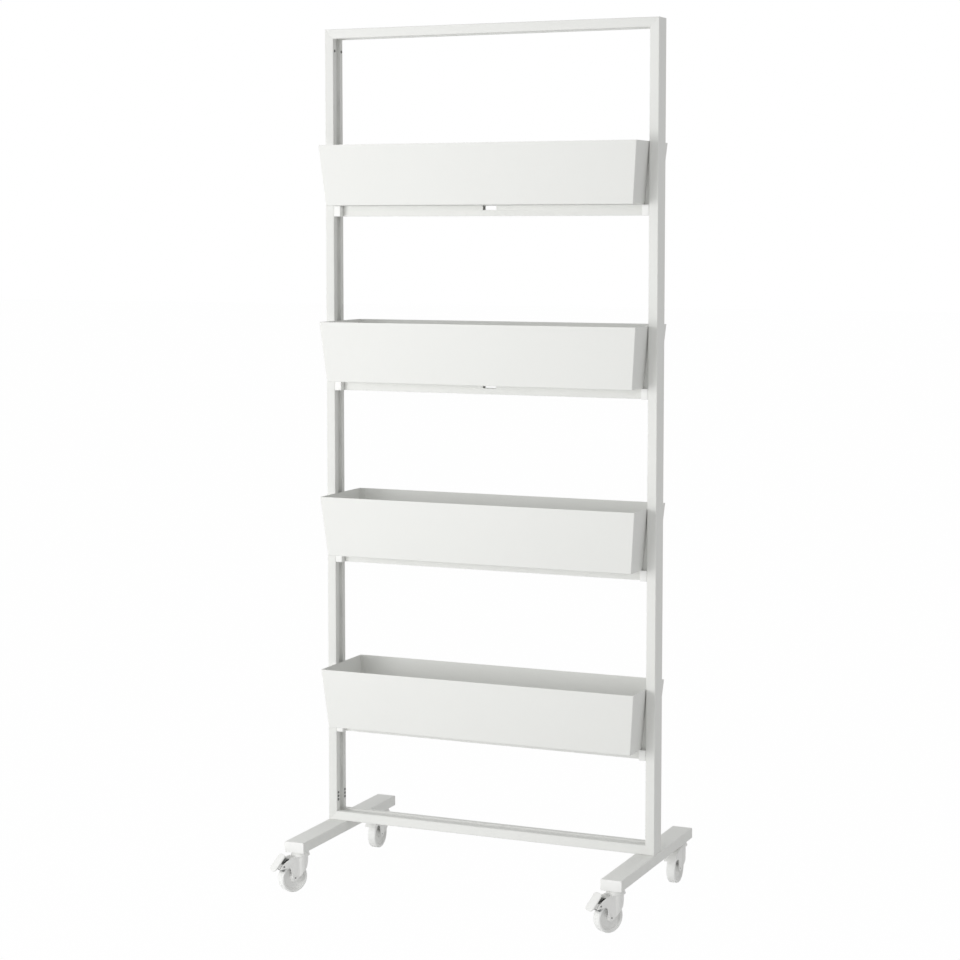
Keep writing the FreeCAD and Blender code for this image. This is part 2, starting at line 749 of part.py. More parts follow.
def fork(name, braked):
    """A hooded housing: round head and neck, two cheeks that narrow to the axle, and an apron over the wheel."""
    half = fork_outside / 2
    hood = wheel_radius + s.wheel_top_gap + s.hood_wall
    tail = hub_y - hood
    low = hub_z - s.boss_size / 2
    boss = s.boss_size / 2
    over = s.overrun
    body = new_body(name)
    plan = sketch_on(body, "XY_Plane", (zero, zero, low))
    box_outline(plan, -half, tail, half, s.neck_seat)
    pad(body, plan, head_bottom - low)
    tail_y = tail.value
    fillet(body, lambda edge: runs_along(edge, 2) and abs(edge.Vertexes[0].Y - tail_y) < CLOSE, s.tail_round)
    neck = sketch_on(body, "XZ_Plane")
    box_outline(neck, zero, low, s.neck_size / 2, head_bottom)
    revolve(body, neck, "V_Axis")
    side = sketch_on(body, "YZ_Plane")
    box_outline(side, tail - over, low - over, s.nose_reach + over, head_bottom + over)
    hub = (hub_y, hub_z)
    hood_start_y = hub_y - s.hood_start
    hood_start_z = hub_z + root(hood * hood - s.hood_start * s.hood_start)
    hood_end_z = hub_z + s.hood_end_rise
    hood_end_y = hub_y - root(hood * hood - s.hood_end_rise * s.hood_end_rise)
    arch = (hub_y - s.leg_trail - s.arch_round, hub_z + s.arch_rise - s.arch_round)
    boss_end_y = hub_y + boss * boss_tangent_share
    boss_end_z = hub_z - boss * math.sqrt(1 - boss_tangent_share ** 2)
    outline(side, [
        Corner(s.nose_reach, head_bottom),
        Corner(hood_start_y, head_bottom),
        Corner(hood_start_y, hood_start_z, hub),
        Corner(hood_end_y, hood_end_z, keep="y"),
        Corner(arch[0], hub_z + s.arch_rise, arch, turn=-1),
        Corner(hub_y - s.leg_trail, arch[1], keep="y"),
        Corner(hub_y - boss, hub_z, hub),
        Corner(boss_end_y, boss_end_z, keep="x"),
        Corner(s.waist_reach, hub_z + s.waist_rise)])
    pocket(body, side, s.neck_size + over, symmetric=True)
    cap = sketch_on(body, "XZ_Plane")
    outline(cap, [
        (zero, head_bottom), (s.head_size / 2, head_bottom), (s.head_size / 2, head_bottom + s.head_edge),
        (s.head_top_size / 2, head_top), (zero, head_top)])
    revolve(body, cap, "V_Axis")
    wheel_room = sketch_on(body, "YZ_Plane")
    circle(wheel_room, hub_y, hub_z, s.wheel_size + s.wheel_top_gap * 2)
    pocket(body, wheel_room, fork_inside, symmetric=True)
    axle_hole = sketch_on(body, "YZ_Plane")
    circle(axle_hole, hub_y, hub_z, s.axle_size + s.axle_fit * 2)
    pocket(body, axle_hole, fork_outside + over, symmetric=True)
    if braked:
        pedal_room = sketch_on(body, "YZ_Plane")
        room_end = hub_y - s.pedal_opening_reach
        box_outline(pedal_room, tail - over, hub_z + s.pedal_opening_rise, room_end, head_bottom)
        pocket(body, pedal_room, fork_inside, symmetric=True)
        pin_hole = sketch_on(body, "YZ_Plane")
        circle(pin_hole, pedal_y, pedal_z, s.pedal_pin_size + s.axle_fit * 2)
        pocket(body, pin_hole, fork_outside + over, symmetric=True)
    bore = sketch_on(body, "XY_Plane", (zero, zero, head_top))
    circle(bore, zero, zero, s.pivot_size + s.pivot_play * 2)
    pocket(body, bore, head_top - hub_z)
    retainer_room = sketch_on(body, "XY_Plane", (zero, zero, head_top - s.pivot_length + s.retainer_play))
    circle(retainer_room, zero, zero, s.retainer_size + s.retainer_play * 2)
    pocket(body, retainer_room, head_top - s.pivot_length - hub_z)
    return body


def pin(name, y, z, size, length):
    """A plain pin across the fork."""
    body = new_body(name)
    section = sketch_on(body, "YZ_Plane")
    circle(section, y, z, size)
    pad(body, section, length, symmetric=True)
    return body


def wheel(name):
    """The moulded centre: hub, dished web and rim."""
    body = new_body(name)
    half = axle_sketch(body)
    bore = s.axle_size / 2 + s.axle_play
    hub = s.hub_size / 2
    hub_side = fork_inside / 2 - s.hub_play
    rim_side = s.rim_width / 2
    dish = s.dish_width / 2
    seat = wheel_radius - s.tyre_thickness
    rim = seat - s.rim_wall
    web = rim - s.dish_flare
    outline(half, [
        (-hub_side, bore), (hub_side, bore), (hub_side, hub), (dish, hub), (dish, web), (rim_side, rim),
        (rim_side, seat), (-rim_side, seat), (-rim_side, rim), (-dish, web), (-dish, hub), (-hub_side, hub)])
    revolve(body, half, "H_Axis")
    return body


def tyre(name):
    """The tread ring on the wheel's rim."""
    body = new_body(name)
    half = axle_sketch(body)
    seat = wheel_radius - s.tyre_thickness
    side = s.wheel_width / 2
    outline(half, [
        (-side, seat), (side, seat), (side, wheel_radius - s.tyre_shoulder),
        (side - s.tyre_shoulder, wheel_radius),
        (s.tyre_shoulder - side, wheel_radius), (-side, wheel_radius - s.tyre_shoulder)])
    revolve(body, half, "H_Axis")
    return body


def pedal(name):
    """A brake lever: broad plate, web with the shoe over the tread, and a boss on the pin."""
    body = new_body(name)
    frame = {"shift": (pedal_y, pedal_z, zero), "tilt": s.pedal_tilt}
    plate = sketch_on(body, "YZ_Plane", **frame)
    box_outline(plate, -s.pedal_down, s.pedal_stand, s.pedal_up, s.pedal_stand + s.pedal_thick)
    pad(body, plate, s.pedal_width, symmetric=True)
    thick = s.pedal_thick.value
    fillet(body, lambda edge: abs(edge.Length - thick) < CLOSE, s.pedal_round)
    web = sketch_on(body, "YZ_Plane", **frame)
    box_outline(web, -s.shoe_reach, -s.shoe_drop, zero, s.pedal_stand + s.pedal_thick / 2)
    pad(body, web, fork_inside - s.pedal_side_gap * 2, symmetric=True)
    boss = sketch_on(body, "YZ_Plane", **frame)
    circle(boss, zero, zero, s.pedal_boss_size)
    pad(body, boss, fork_inside - s.pedal_side_gap * 2, symmetric=True)
    hole = sketch_on(body, "YZ_Plane", **frame)
    circle(hole, zero, zero, s.pedal_pin_size + s.axle_play * 2)
    pocket(body, hole, s.pedal_width + s.overrun, symmetric=True)
    return body


def build_casters():
    """Braked casters in front, turned as they stand; plain ones behind, straight."""
    spots = []
    for end, end_name, turn in ((-1, "front", s.caster_turn), (1, "rear", 0)):
        for side, side_name in ((-1, "left"), (1, "right")):
            name = f"{end_name}_{side_name}"
            braked = end_name == "front"
            spot = (foot_middle * side, caster_reach * end, zero)
            axle_length = fork_outside - s.axle_recess * 2
            pieces = {"fork": fork(f"{name}_fork_body", braked),
                      "axle": pin(f"{name}_axle_body", hub_y, hub_z, s.axle_size, axle_length),
                      "wheel": wheel(f"{name}_wheel_body"),
                      "tyre": tyre(f"{name}_tyre_body")}
            if braked:
                pieces["pedal"] = pedal(f"{name}_pedal_body")
                pieces["pedal_pin"] = pin(
                    f"{name}_pedal_pin_body", pedal_y, pedal_z, s.pedal_pin_size, fork_outside)
            for piece, body in pieces.items():
                node(body, f"{name}_{piece}")
                place(body, *spot, (0, 0, 1), turn)
            spots.append(spot)
    group("caster_stems", stem(), spots)


build_frame()
build_feet()
build_levels()
build_casters()
doc.recompute()

for thing in doc.Objects:
    if "Invalid" in thing.State or "Error" in thing.State:
        raise ValueError(f"{thing.Label} did not build: {thing.State}")
for thing in nodes:
    if thing.Shape.isNull() or not thing.Shape.isValid() or not thing.Shape.Solids:
        raise ValueError(f"{thing.Label} has no sound solid")

os.makedirs("parts", exist_ok=True)
for thing in nodes:
    thing.Shape.exportStep(f"parts/{thing.Label}.step")
print(f"{len(nodes)} sub-parts written")
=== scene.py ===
import json
import math

import bmesh
import bpy
from bpy.props import FloatProperty, FloatVectorProperty, IntProperty, PointerProperty
from bpy.types import Operator, Panel, PropertyGroup
from mathutils import Matrix, Vector
from mathutils.bvhtree import BVHTree

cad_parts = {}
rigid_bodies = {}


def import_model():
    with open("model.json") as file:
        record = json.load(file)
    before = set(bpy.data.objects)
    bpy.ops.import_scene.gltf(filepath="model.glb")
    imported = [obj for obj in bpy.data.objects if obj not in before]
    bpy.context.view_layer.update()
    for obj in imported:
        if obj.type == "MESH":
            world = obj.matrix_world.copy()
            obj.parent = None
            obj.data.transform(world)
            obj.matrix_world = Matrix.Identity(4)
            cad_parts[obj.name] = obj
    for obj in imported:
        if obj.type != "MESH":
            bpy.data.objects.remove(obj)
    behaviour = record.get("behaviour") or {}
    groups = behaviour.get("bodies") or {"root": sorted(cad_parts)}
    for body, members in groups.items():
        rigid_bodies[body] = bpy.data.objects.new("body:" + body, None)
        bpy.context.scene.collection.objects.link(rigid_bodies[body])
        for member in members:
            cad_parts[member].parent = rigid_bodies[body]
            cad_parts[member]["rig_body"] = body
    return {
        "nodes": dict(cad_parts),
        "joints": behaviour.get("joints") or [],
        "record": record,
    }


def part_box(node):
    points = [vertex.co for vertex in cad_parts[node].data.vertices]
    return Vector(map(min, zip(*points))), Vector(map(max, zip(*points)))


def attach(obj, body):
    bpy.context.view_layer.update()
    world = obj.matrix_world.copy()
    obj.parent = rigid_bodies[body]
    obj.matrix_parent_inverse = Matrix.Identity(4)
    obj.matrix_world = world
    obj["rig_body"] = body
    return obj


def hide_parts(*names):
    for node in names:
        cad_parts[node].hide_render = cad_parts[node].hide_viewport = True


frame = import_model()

bl_info = {
    "name": "Rolling shelving unit",
    "version": (1, 0, 0),
    "blender": (4, 5, 0),
    "location": "3D View > Sidebar > Shelving",
    "description": "Finishes a packed shelving unit: coated frame, folded trays, casters and a studio",
    "category": "Object",
}

LEVELS = range(1, 5)
SIDES = ("left", "right")
CASTERS = ("front_left", "front_right", "rear_left", "rear_right")
BRAKED = ("front_left", "front_right")
UP = Vector((0.0, 0.0, 1.0))
WHITE = (1.0, 1.0, 1.0, 1.0)
# How far a rounded edge may leave its solid, as a share of the rounding
STRAY_SHARE = 0.6
# Vertices closer than this are one
SAME_PLACE = 1e-6
# Edges of a solid that bend less than this lie in a flat face
FLAT_ANGLE = math.radians(0.5)
# Edges of a solid that bend more than this are rounded
ROUNDED_ANGLE = math.radians(40.0)
# Edges of a finished piece that bend more than this are shaded sharp
SHARP_ANGLE = math.radians(32.0)
# Facets around small turned parts, and in a rounded corner or fold
ROUND_FACETS = 24
CORNER_FACETS = 5


def number(label, text, default, **more):
    """A length or other number that shows in the sidebar."""
    return FloatProperty(name=label, description=text, default=default, precision=4, **more)


def length(label, text, default):
    return number(label, text, default, unit="LENGTH", min=0.0)


def colour(label, text, default):
    return FloatVectorProperty(name=label, description=text, default=default, subtype="COLOR",
                               min=0.0, max=1.0)


class SHELF_PG_finish(PropertyGroup):
    """Colours and surface grain of the four finishes."""

    coat: colour("Powder coat", "Colour of the coated steel", (0.79, 0.795, 0.772))
    plastic: colour("Plastic", "Colour of the moulded parts", (0.86, 0.862, 0.846))
    tread: colour("Tread", "Colour of the tyres", (0.89, 0.895, 0.88))
    # Dark: the bare steel's colour, and on the catch springs and brake plates also painted shade in the
    # brakes' hollows
    steel: colour("Steel", "Colour of the bare steel parts", (0.20, 0.205, 0.20))
    peel: length("Peel", "Depth of the powder coat's orange peel", 0.00012)
    grain: length("Grain", "Depth of the moulded parts' grain", 0.00008)


class SHELF_PG_edges(PropertyGroup):
    """Edge rounding of the pieces that follow their solids closely."""

    frame: length("Frame edge", "Rounding of rolled and cut edges", 0.0003)
    sheet: length("Sheet edge", "Rounding of thin bracket edges", 0.0004)
    clip: length("Clip edge", "Rounding of the rail clips and foot caps", 0.0007)
    fork: length("Fork edge", "Rounding of the caster housings", 0.001)
    pedal: length("Pedal edge", "Rounding of the brake pedals", 0.0012)
    steps: IntProperty(name="Steps", description="Facets in a rounded edge", default=3, min=1, max=8)


class SHELF_PG_tray(PropertyGroup):
    """The folded trays."""

    sheet: length("Sheet", "Thickness of the steel sheet", 0.0012)
    fold: length("Fold", "Outside radius of the folds", 0.0022)
    end_slope: length("End slope", "How far each end draws in towards the floor", 0.0125)
    front_slope: length("Front slope", "How far front and back draw in towards the floor", 0.014)
    tab: length("Tab", "Width of the welded corner tabs", 0.010)


class SHELF_PG_caster(PropertyGroup):
    """The turned caster parts."""

    steps: IntProperty(name="Steps", description="Facets around a wheel", default=96, min=24, max=192)
    ring_inner: length("Ring bore", "Bore radius of the rings over the axle ends", 0.0021)
    ring_outer: length("Ring", "Outer radius of the rings over the axle ends", 0.0052)
    ring_height: length("Ring height", "How far a ring stands over the axle end", 0.0006)


class SHELF_PG_brake(PropertyGroup):
    """The steel parts of the two brakes, which also paint shade in the brakes' hollows."""

    back: length("Back", "Distance of the spring's post behind the pedal's pin", 0.0104)
    rise: length("Rise", "Height of the spring's post over the pedal's pin", 0.0100)
    post: length("Post", "Radius of the spring's post", 0.0017)
    post_length: length("Post length", "Length of the spring's post", 0.0250)
    coil: length("Coil", "Radius of the coil at the middle of the wire", 0.0052)
    wire: length("Wire", "Radius of the spring's wire", 0.00065)
    pitch: length("Pitch", "Distance from turn to turn", 0.0019)
    turns: IntProperty(name="Turns", description="Turns of the coil", default=10, min=1, max=20)
    pedal_leg: length("Pedal leg", "Length of the leg that lies against the pedal", 0.0118)
    housing_leg: length("Housing leg", "Length of the leg that lies against the housing", 0.0058)
    plate_drop: length("Plate drop", "Distance of the plate's upper edge below the pin", 0.0060)
    plate_ahead: length("Plate reach", "Distance of the plate's front edge ahead of the pin", 0.0120)
    plate_proud: length("Plate proud", "How far the plate stands over the pedal's shoe", 0.00025)


class SHELF_PG_screw(PropertyGroup):
    """The screws in the uprights' flanges."""

    radius: length("Radius", "Radius of a screw head", 0.0033)
    height: length("Height", "Height of a screw head over the flange", 0.0012)
    edge: length("Edge", "Rounding of a screw head", 0.0004)
    socket: length("Socket", "Half the width across the hexagon socket's flats", 0.0015)


class SHELF_PG_stage(PropertyGroup):
    """Camera, lamp and room."""

    lens: number("Lens", "Focal length on a 36 mm sensor", 85.633, unit="CAMERA", min=1.0)
    shift: number("Shift", "Vertical lens shift", -0.062)
    turn: number("Turn", "Camera heading, turned from straight at the front", math.radians(23.460),
                 subtype="ANGLE")
    pitch: number("Pitch", "Camera tilt above level", math.radians(-4.706), subtype="ANGLE")
    place: FloatVectorProperty(name="Place", description="Camera position", unit="LENGTH",
                               default=(2.1158, -4.9397, 1.5604))
    key: number("Key", "Power of the large lamp in front", 118.0, unit="POWER", min=0.0)
    ambient: number("Ambient", "Brightness of the room all round", 0.50, min=0.0)
    above: number("Above", "How much brighter the room is overhead, as a share", 0.5, min=0.0)


GROUPS = {"shelf_finish": SHELF_PG_finish, "shelf_edges": SHELF_PG_edges, "shelf_tray": SHELF_PG_tray,
          "shelf_caster": SHELF_PG_caster, "shelf_brake": SHELF_PG_brake, "shelf_screw": SHELF_PG_screw,
          "shelf_stage": SHELF_PG_stage}


class Wire:
    """A socket in a node tree that can be used in sums."""

    def __init__(self, tree, socket=None):
        self.tree = tree
        self.socket = socket

    def make(self, kind, settings=None, sockets=None, output=0):
        """Adds a node: its settings first, then the values or links of its sockets."""
        node = self.tree.nodes.new(kind)
        for name, value in (settings or {}).items():
            setattr(node, name, value)
        for name, value in (sockets or {}).items():
            self.feed(node.inputs[name], value)
        return Wire(self.tree, node.outputs[output] if node.outputs else None)

    def feed(self, socket, value):
        if isinstance(value, Wire):
            self.tree.links.new(value.socket, socket)
        else:
            socket.default_value = value

    def sum(self, operation, first, second):
        return self.make("ShaderNodeMath", {"operation": operation}, {0: first, 1: second})

    def __add__(self, other):
        return self.sum("ADD", self, other)

    def __radd__(self, other):
        return self.sum("ADD", other, self)

    def __sub__(self, other):
        return self.sum("SUBTRACT", self, other)

    def __rsub__(self, other):
        return self.sum("SUBTRACT", other, self)

    def __mul__(self, other):
        return self.sum("MULTIPLY", self, other)

    def __rmul__(self, other):
        return self.sum("MULTIPLY", other, self)


def noise(spot, scale, detail, roughness=0.5):
    return spot.make("ShaderNodeTexNoise", None,
                     {"Vector": spot, "Scale": scale, "Detail": detail, "Roughness": roughness})


def between(low, high, value):
    """Smoothly 0 below low and 1 above high."""
    return value.make("ShaderNodeMapRange", {"interpolation_type": "SMOOTHSTEP"},
                      {"Value": value, "From Min": low, "From Max": high})


def shade(tint, share):
    """A colour, darkened or lightened by a share, with full alpha."""
    return (*(channel * share for channel in tint), 1.0)


def mix(factor, first, second):
    return factor.make("ShaderNodeMix", {"data_type": "RGBA"}, {0: factor, 6: first, 7: second}, output=2)


def new_material(name):
    """A material with its main shader and its object coordinates."""
    material = bpy.data.materials.new(name)
    material.use_nodes = True
    shader = material.node_tree.nodes["Principled BSDF"]
    spot = Wire(material.node_tree).make("ShaderNodeTexCoord", output="Object")
    return material, shader, spot


def bump(height, depth, strength):
    return height.make("ShaderNodeBump", None, {"Height": height, "Distance": depth, "Strength": strength})


def powder_coat(name, look):
    """Satin powder coat: a fine orange peel, and thickness that drifts a little along a piece."""
    material, shader, spot = new_material(name)
    drift = noise(spot, scale=5.0, detail=3.0)
    peel = noise(spot, scale=620.0, detail=1.0)
    grain = noise(spot, scale=2100.0, detail=1.0)
    tint = mix(drift, shade(look.coat, share=0.985), shade(look.coat, share=1.012))
    spot.feed(shader.inputs["Base Color"], tint)
    spot.feed(shader.inputs["Roughness"], 0.54 + drift * 0.06 + peel * 0.06)
    spot.feed(shader.inputs["Normal"], bump(peel * 0.7 + grain * 0.3, look.peel, strength=0.35))
    shader.inputs["Specular IOR Level"].default_value = 0.35
    return material


def white_plastic(name, look):
    """Moulded plastic with a spark-eroded grain and faint flow marks."""
    material, shader, spot = new_material(name)
    flow = noise(spot, scale=26.0, detail=4.0, roughness=0.6)
    grain = noise(spot, scale=1500.0, detail=2.0)
    tint = mix(flow, shade(look.plastic, share=0.97), shade(look.plastic, share=1.01))
    spot.feed(shader.inputs["Base Color"], tint)
    spot.feed(shader.inputs["Roughness"], 0.40 + grain * 0.10)
    spot.feed(shader.inputs["Normal"], bump(grain, look.grain, strength=0.3))
    return material


def pale_tread(name, look):
    """Soft tread plastic with light rolling scuffs."""
    material, shader, spot = new_material(name)
    mottle = noise(spot, scale=160.0, detail=4.0, roughness=0.65)
    scuff = between(0.56, 0.70, noise(spot, scale=420.0, detail=5.0, roughness=0.7))
    tint = mix(mottle, shade(look.tread, share=0.95), shade(look.tread, share=1.03))
    tint = mix(scuff * 0.35, tint, shade(look.tread, share=0.82))
    spot.feed(shader.inputs["Base Color"], tint)
    spot.feed(shader.inputs["Roughness"], 0.52 + mottle * 0.12)
    spot.feed(shader.inputs["Normal"], bump(mottle * 0.5 + scuff * -0.5, look.grain, strength=0.5))
    return material


def zinc_steel(name, look):
    """Zinc-plated steel with fine drawn lines and dull patches."""
    material, shader, spot = new_material(name)
    drawn = spot.make("ShaderNodeMapping", None, {"Vector": spot, "Scale": (1.0, 1.0, 9.0)})
    lines = noise(drawn, scale=700.0, detail=3.0, roughness=0.6)
    patch = noise(spot, scale=180.0, detail=3.0)
    tint = mix(patch, shade(look.steel, share=0.82), shade(look.steel, share=1.12))
    spot.feed(shader.inputs["Base Color"], tint)
    spot.feed(shader.inputs["Roughness"], 0.26 + patch * 0.12 + lines * 0.12)
    spot.feed(shader.inputs["Normal"], bump(lines, look.grain, strength=0.3))
    shader.inputs["Metallic"].default_value = 0.9
    return material


FINISHES = {"powder_coat": powder_coat, "white_plastic": white_plastic,
            "pale_tread": pale_tread, "zinc_steel": zinc_steel}


def seen(start):
    """1 for what the camera sees, straight or by way of metal or glass, and 0 for other light."""
    camera, glossy, through = (start.make("ShaderNodeLightPath", output=f"Is {kind} Ray")
                               for kind in ("Camera", "Glossy", "Transmission"))
    return start.sum("MAXIMUM", start.sum("MAXIMUM", camera, glossy), through)


def finish(slot):
    """The material of a slot of the record, made when it is first asked for."""
    if slot not in FINISHES:
        raise ValueError(f"no finish is written for slot {slot}")
    name = f"shelf_{slot}"
    return bpy.data.materials.get(name) or FINISHES[slot](name, bpy.context.scene.shelf_finish)


def node_slot(node):
    """The material slot that the record gives a node."""
    return next(row["material_slot"] for row in frame["record"]["subparts"] if row["node"] == node)


def node_body(node):
    """The body that a node rides on."""
    return frame["nodes"][node]["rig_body"]


def joint_line(name):
    """A point on a joint's axis, and the axis."""
    joint = next(row for row in frame["joints"] if row["name"] == name)
    return Vector(joint["pos_m"]), Vector(joint["axis"])


def add_piece(name, bm, slot, body, stands_for=()):
    """Turns a bmesh into a finished object that rides on a body and may stand for solids."""
    if not bm.faces:
        raise ValueError(f"{name} has no faces")
    mesh = bpy.data.meshes.new(name)
    bm.to_mesh(mesh)
    bm.free()
    mesh.shade_smooth()
    mesh.set_sharp_from_angle(angle=SHARP_ANGLE)
    mesh.materials.append(finish(slot))
    piece = bpy.data.objects.new(name, mesh)
    bpy.context.scene.collection.objects.link(piece)
    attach(piece, body)
    if stands_for:
        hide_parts(*stands_for)


def round_edges(bm, edges, size, steps):
    bmesh.ops.bevel(bm, geom=edges, offset=size, offset_type="OFFSET", affect="EDGES", segments=steps,
                    profile=0.5, material=-1, clamp_overlap=False)


def solid_copy(node):
    """A bmesh of a solid, with its flat faces whole."""
    bm = bmesh.new()
    bm.from_mesh(frame["nodes"][node].data)
    bmesh.ops.remove_doubles(bm, verts=bm.verts, dist=SAME_PLACE)
    bmesh.ops.dissolve_limit(bm, angle_limit=FLAT_ANGLE, verts=bm.verts, edges=bm.edges)
    return bm


def soften(node, size, steps):
    """Adds a piece that follows a solid, with its sharp edges rounded."""
    bm = solid_copy(node)
    surface = BVHTree.FromBMesh(bm)
    edges = [edge for edge in bm.edges if edge.is_manifold and edge.calc_face_angle() > ROUNDED_ANGLE]
    round_edges(bm, edges, size, steps)
    for vert in bm.verts:
        nearest, _, _, distance = surface.find_nearest(vert.co)
        if distance > size * STRAY_SHARE:
            vert.co = nearest
    bmesh.ops.dissolve_degenerate(bm, dist=SAME_PLACE, edges=bm.edges)
    add_piece(f"{node}_finish", bm, node_slot(node), node_body(node), (node,))


def box_between(bm, low, high):
    """A block between two corners; gives its vertices."""
    size = high - low
    matrix = Matrix.Translation((low + high) / 2) @ Matrix.Diagonal((*size, 1.0))
    return bmesh.ops.create_cube(bm, size=1.0, matrix=matrix)["verts"]


def join(bm, other):
    """Adds the faces of another bmesh, which is used up."""
    mesh = bpy.data.meshes.new("joined")
    other.to_mesh(mesh)
    other.free()
    bm.from_mesh(mesh)
    bpy.data.meshes.remove(mesh)


def mirrored(corners):
    """The corners of a section, and their likes on the other side in the reverse order."""
    return (*corners, *((-offset, *rest) for offset, *rest in reversed(corners)))


def paint_node(node):
    """Gives a solid that stays in view its finish."""
    mesh = frame["nodes"][node].data
    mesh.materials.clear()
    mesh.materials.append(finish(node_slot(node)))


class SHELF_OT_frame(Operator):
    """Uprights, rails and feet of the coated frame, and the hidden steel inside it"""

    bl_idname = "shelf.frame"
    bl_label = "Frame"

    def execute(self, context):
        edges = context.scene.shelf_edges
        for node in ("left_upright", "right_upright", "top_rail", "bottom_rail", "left_foot", "right_foot"):
            soften(node, edges.frame, edges.steps)
        soften("foot_end_caps", edges.clip, edges.steps)
        for node in ("top_corner_connectors", "bottom_corner_connectors", "caster_stems"):
            paint_node(node)
        return {"FINISHED"}


class SHELF_OT_screws(Operator):
    """Hexagon-socket screws in the flange holes of the uprights"""

    bl_idname = "shelf.screws"
    bl_label = "Screws"

    # Heights over the foot end and below the top end of an upright, and the flanges' distance from its middle
    rises = (0.0500, 0.0587, 0.0674)
    drop = 0.051
    flange_y = 0.0175
    edge_facets = 2

    def execute(self, context):
        screw = context.scene.shelf_screw
        for side, way in zip(SIDES, (1.0, -1.0)):
            low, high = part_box(f"{side}_upright")
            face = high.x if way > 0 else low.x
            bm = bmesh.new()
            for height in (*(low.z + rise for rise in self.rises), high.z - self.drop):
                for y in (self.flange_y, -self.flange_y):
                    self.add_screw(bm, Vector((face, y, height)), way, screw)
            add_piece(f"{side}_screws", bm, "zinc_steel", "frame")
        return {"FINISHED"}

    def add_screw(self, bm, spot, way, screw):
        """One screw whose head stands on the flange at spot and looks along X."""
        turn = Matrix.Rotation(way * math.pi / 2, 4, "Y")
        made = bmesh.ops.create_cone(bm, cap_ends=True, segments=ROUND_FACETS, radius1=screw.radius,
                                     radius2=screw.radius, depth=screw.height * 2,
                                     matrix=Matrix.Translation(spot) @ turn)
        faces = {face for vert in made["verts"] for face in vert.link_faces}
        top = max(faces, key=lambda face: way * face.calc_center_median().x)
        round_edges(bm, list(top.edges), screw.edge, self.edge_facets)
        top = max((face for face in bm.faces if len(face.verts) == ROUND_FACETS),
                  key=lambda face: self.nearness(face.calc_center_median(), spot, way))
        bmesh.ops.inset_individual(bm, faces=[top], thickness=screw.radius / 4)
        middle = top.calc_center_median()
        for vert in top.verts:
            offset = vert.co - middle
            angle = math.atan2(offset.z, offset.y) % (math.pi / 3) - math.pi / 6
            vert.co = middle + offset.normalized() * screw.socket / math.cos(angle)
        pushed = bmesh.ops.extrude_face_region(bm, geom=[top])["geom"]
        moved = [item for item in pushed if isinstance(item, bmesh.types.BMVert)]
        bmesh.ops.translate(bm, verts=moved, vec=Vector((-way * screw.height, 0.0, 0.0)))
        bmesh.ops.delete(bm, geom=[top], context="FACES_ONLY")

    def nearness(self, middle, spot, way):
        """Largest for the outer face of the screw at spot."""
        return way * middle.x - (middle - spot).length


class SHELF_OT_trays(Operator):
    """Folded sheet trays with welded corner tabs, and the hangers on their ends"""

    bl_idname = "shelf.trays"
    bl_label = "Trays"

    def execute(self, context):
        tray, edges = context.scene.shelf_tray, context.scene.shelf_edges
        for level in LEVELS:
            self.fold(f"tray_{level}", tray)
            soften(f"tray_hangers_{level}", edges.sheet, edges.steps)
        return {"FINISHED"}

    def fold(self, node, tray):
        low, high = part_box(node)
        middle = (low + high) / 2
        size = high - low
        bm = bmesh.new()
        verts = box_between(bm, low, high)
        floor = [vert for vert in verts if vert.co.z < middle.z]
        draw_in = Vector((1 - 2 * tray.end_slope / size.x, 1 - 2 * tray.front_slope / size.y, 1.0))
        bmesh.ops.scale(bm, vec=draw_in, space=Matrix.Translation(-middle), verts=floor)
        top = [face for face in bm.faces if face.calc_center_median().z > high.z - tray.sheet]
        bmesh.ops.delete(bm, geom=top, context="FACES_ONLY")
        round_edges(bm, [edge for edge in bm.edges if edge.is_manifold], tray.fold, CORNER_FACETS)
        bmesh.ops.recalc_face_normals(bm, faces=bm.faces)
        # The largest face is the floor, and it has to look down
        if max(bm.faces, key=lambda face: face.calc_area()).normal.z > 0.5:
            bmesh.ops.reverse_faces(bm, faces=bm.faces)
        bmesh.ops.solidify(bm, geom=bm.faces[:] + bm.edges[:] + bm.verts[:], thickness=tray.sheet)
        self.add_tabs(bm, low, high, tray)
        add_piece(f"{node}_sheet", bm, node_slot(node), node, (node,))

    def add_tabs(self, bm, low, high, tray):
        """The end walls' tabs, one sheet thick, inside the long walls at the four corners."""
        for x, way_x in ((low.x, 1), (high.x, -1)):
            for y, way_y in ((low.y, 1), (high.y, -1)):
                near = Vector((x + way_x * tray.sheet, y + way_y * tray.sheet, low.z + tray.fold))
                far = Vector((x + way_x * (tray.sheet + tray.tab), y + way_y * tray.sheet * 2, high.z))
                verts = box_between(bm, near, far)
                foot = [vert for vert in verts if vert.co.z < high.z - tray.fold]
                lean = Vector((way_x * tray.end_slope, way_y * tray.front_slope, 0.0))
                bmesh.ops.translate(bm, verts=foot, vec=lean)


class SHELF_OT_rails(Operator):
    """Support rails under the trays and their moulded clips"""

    bl_idname = "shelf.rails"
    bl_label = "Support rails"

    def execute(self, context):
        edges = context.scene.shelf_edges
        for level in LEVELS:
            soften(f"support_rail_{level}", edges.frame, edges.steps)
            soften(f"rail_clips_{level}", edges.clip, edges.steps)
        return {"FINISHED"}


